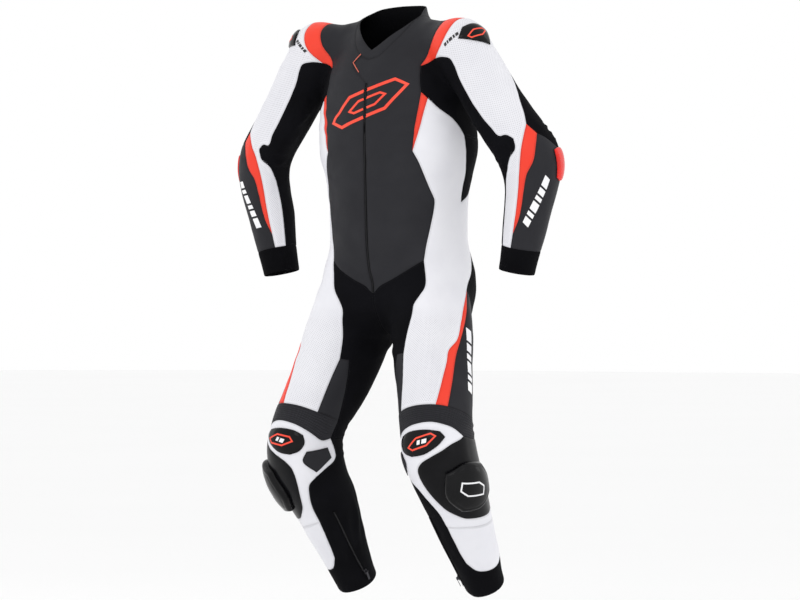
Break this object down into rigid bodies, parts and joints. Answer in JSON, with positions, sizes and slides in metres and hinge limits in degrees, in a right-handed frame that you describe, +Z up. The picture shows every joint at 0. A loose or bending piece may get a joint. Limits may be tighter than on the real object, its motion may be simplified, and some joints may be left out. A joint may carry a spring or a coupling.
{
  "type": "motorcycle race suit",
  "caption": "One-piece leather motorcycle race suit in its worn form with no wearer: open neck, cuffs and legs, ribbed knees, hard knee sliders, zips on the calves.",
  "frame": {"origin": "middle of the neck opening, level with the tops of the shoulders, where the wearer holds the suit up", "axes": "+Z up, the suit faces -Y, its left side is +X"},
  "size_m": [0.8677, 0.3371, 1.3318],
  "materials": {
    "leather": "matte dark grey leather",
    "stretch": "black woven stretch",
    "white_leather": "white perforated leather",
    "red_leather": "bright red leather",
    "gloss": "gloss black",
    "red_plate": "red hard plastic",
    "zip": "black zip tape and teeth",
    "zip_metal": "dark grey metal"
  },
  "bodies": {
    "root": {"back_panel": "leather", "calf_left": "stretch", "calf_right": "stretch", "calf_zip_left": "zip", "calf_zip_right": "zip", "chest_stripe_left": "red_leather", "chest_stripe_right": "red_leather", "collar": "leather", "cuff_left": "stretch", "cuff_right": "stretch", "elbow_armour_left": "red_plate", "elbow_armour_right": "red_plate", "forearm_outer_left": "leather", "forearm_outer_right": "leather", "front_panel_left": "leather", "front_panel_right": "leather", "front_zip": "zip", "knee_frame_left": "white_leather", "knee_frame_right": "white_leather", "knee_insert_left": "gloss", "knee_insert_right": "gloss", "knee_rib_left": "leather", "knee_rib_right": "leather", "knee_side_patch_left": "leather", "knee_side_patch_right": "leather", "knee_slider_left": "gloss", "knee_slider_right": "gloss", "seat_panel": "stretch", "shin_front_left": "white_leather", "shin_front_right": "white_leather", "shoulder_insert_left": "gloss", "shoulder_insert_right": "gloss", "shoulder_stripe_left": "red_leather", "shoulder_stripe_right": "red_leather", "side_panel_left": "white_leather", "side_panel_right": "white_leather", "side_stretch_left": "stretch", "side_stretch_right": "stretch", "sleeve_back_left": "stretch", "sleeve_back_right": "stretch", "sleeve_inner_left": "stretch", "sleeve_inner_right": "stretch", "sleeve_outer_left": "white_leather", "sleeve_outer_right": "white_leather", "sleeve_stripe_left": "red_leather", "sleeve_stripe_right": "red_leather", "slider_base_left": "stretch", "slider_base_right": "stretch", "thigh_inner_left": "stretch", "thigh_inner_right": "stretch", "thigh_outer_left": "leather", "thigh_outer_right": "leather", "thigh_patch_left": "leather", "thigh_patch_right": "leather", "thigh_stripe_left": "red_leather", "thigh_stripe_right": "red_leather"},
    "calf_zip_pull_left": {"calf_zip_pull_left": "zip_metal"},
    "calf_zip_pull_right": {"calf_zip_pull_right": "zip_metal"}
  },
  "joints": [
    {"name": "pull_swing_left", "type": "hinge", "parent": "root", "child": "calf_zip_pull_left", "pos_m": [0.1294, 0.05305, -1.25531], "axis": [-0.6015, 0.6451, 0.4712], "range_deg": [0, 150]},
    {"name": "pull_swing_right", "type": "hinge", "parent": "root", "child": "calf_zip_pull_right", "pos_m": [-0.12286, 0.06307, -1.24798], "axis": [-0.3168, -0.7706, -0.553], "range_deg": [0, 150]}
  ]
}
